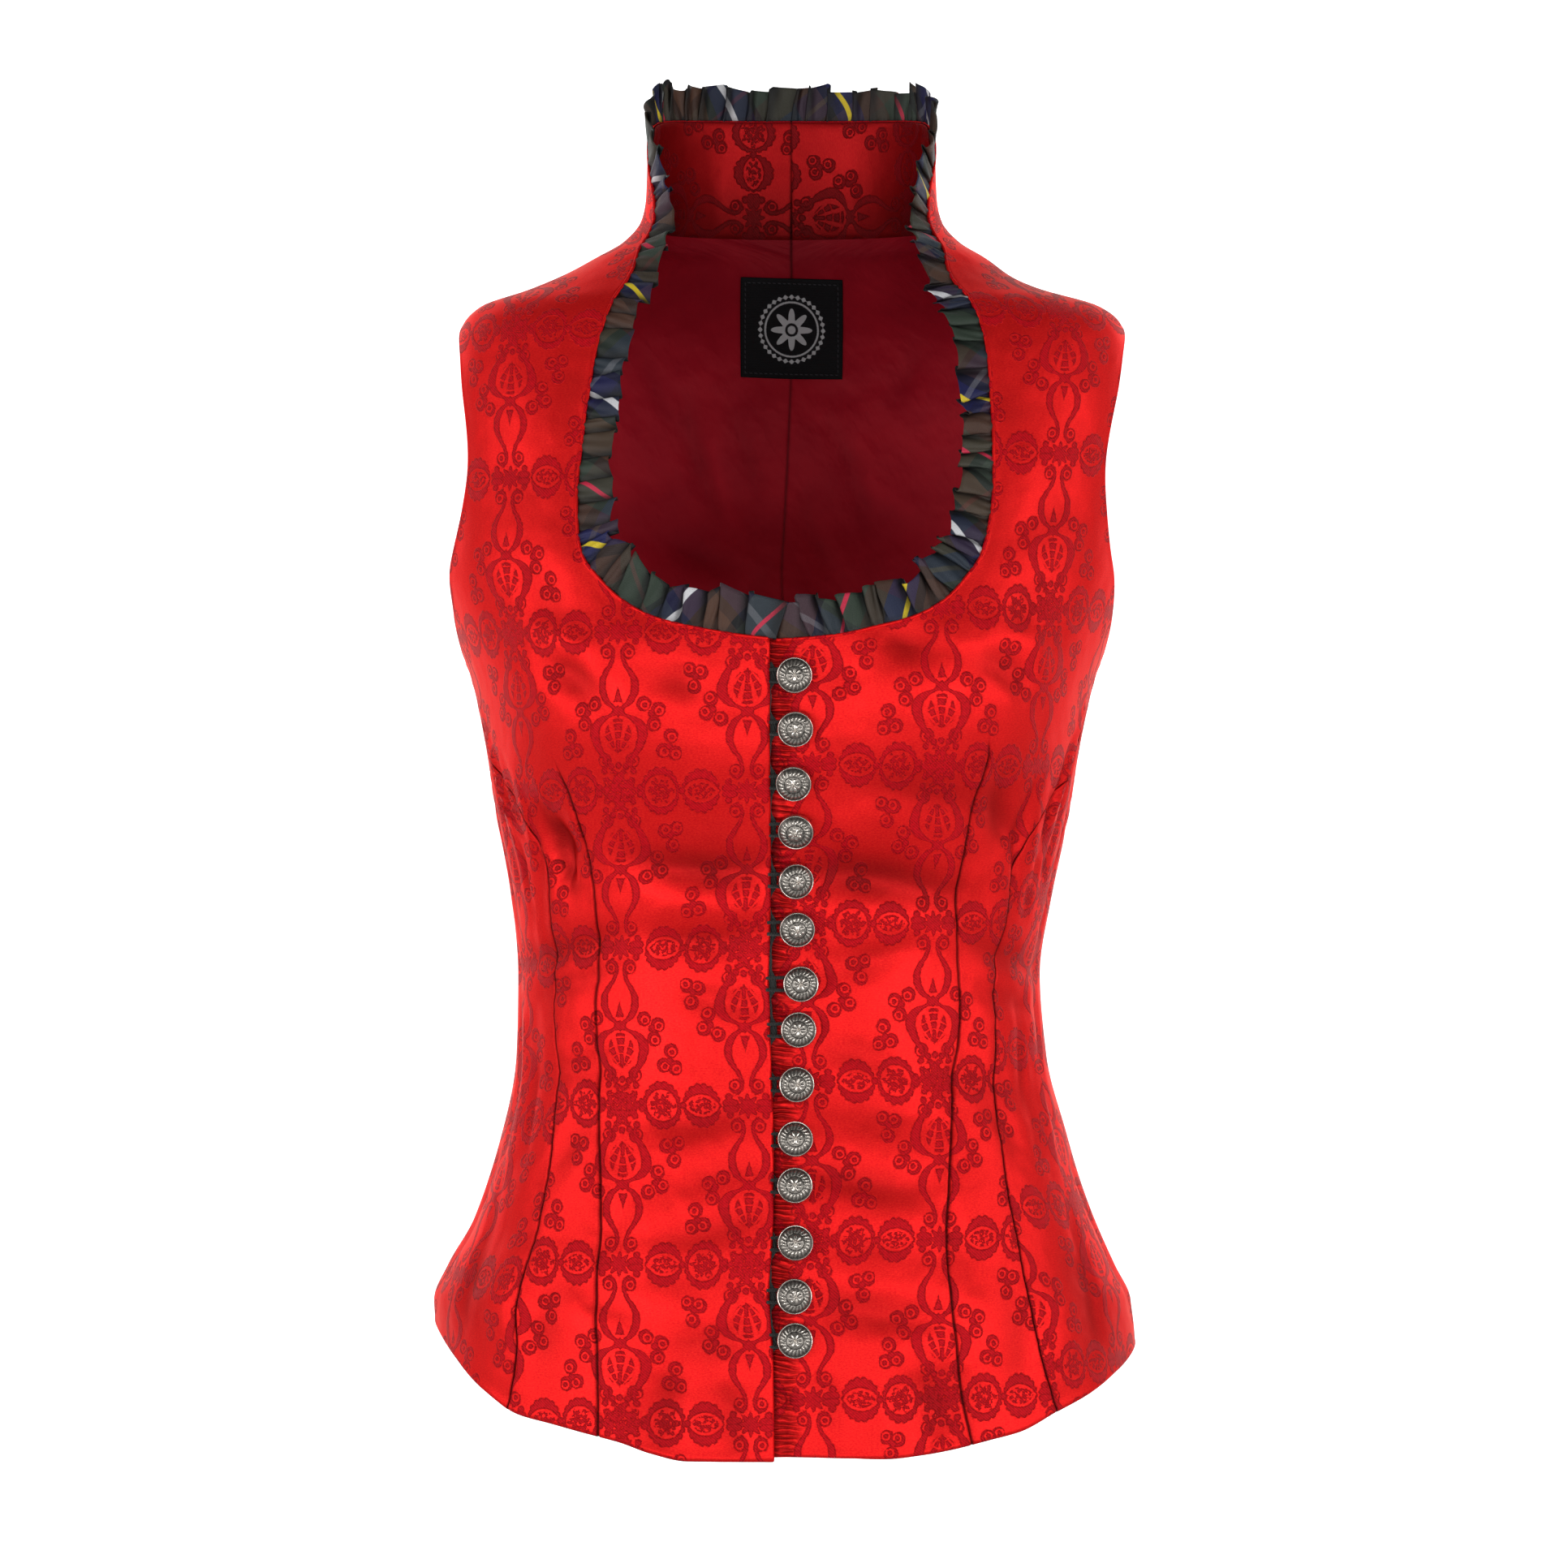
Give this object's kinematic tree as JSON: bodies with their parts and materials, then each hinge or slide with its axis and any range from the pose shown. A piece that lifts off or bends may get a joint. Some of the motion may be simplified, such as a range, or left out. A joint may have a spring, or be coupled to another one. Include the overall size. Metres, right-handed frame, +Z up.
{
  "type": "sleeveless dirndl bodice",
  "caption": "Sleeveless damask bodice with a deep neckline, gathered check ruffle, buttoned front and pointed hem, filled out with no wearer.",
  "frame": {"origin": "middle of the neck base between the shoulders, where the wearer's shoulders and neck hold the bodice; the hem is about 0.55 m below it", "axes": "+Z up, the front faces -Y, the wearer's left is +X"},
  "size_m": [0.3221, 0.2423, 0.6292],
  "materials": {
    "damask": "silky jacquard damask, soft gloss, darker woven ornament",
    "lining_satin": "satin lining, soft sheen",
    "ruffle_check": "fine gathered plaid ribbon, soft gloss",
    "label_woven": "matte woven tape",
    "button_pewter": "antique pewter, bright raised parts and blackened recesses",
    "loop_cord": "dark twisted cord"
  },
  "bodies": {
    "root": {"front_right": "damask", "front_left": "damask", "side_right": "damask", "side_left": "damask", "back_right": "damask", "back_left": "damask", "facing_right": "damask", "lining_right": "lining_satin", "facing_left": "damask", "lining_left": "lining_satin", "label": "label_woven", "ruffle_right": "ruffle_check", "ruffle_back": "ruffle_check", "ruffle_left": "ruffle_check", "button_01": "button_pewter", "loop_01": "loop_cord", "button_02": "button_pewter", "loop_02": "loop_cord", "button_03": "button_pewter", "loop_03": "loop_cord", "button_04": "button_pewter", "loop_04": "loop_cord", "button_05": "button_pewter", "loop_05": "loop_cord", "button_06": "button_pewter", "loop_06": "loop_cord", "button_07": "button_pewter", "loop_07": "loop_cord", "button_08": "button_pewter", "loop_08": "loop_cord", "button_09": "button_pewter", "loop_09": "loop_cord", "button_10": "button_pewter", "loop_10": "loop_cord", "button_11": "button_pewter", "loop_11": "loop_cord", "button_12": "button_pewter", "loop_12": "loop_cord", "button_13": "button_pewter", "loop_13": "loop_cord", "button_14": "button_pewter", "loop_14": "loop_cord"}
  },
  "joints": []
}
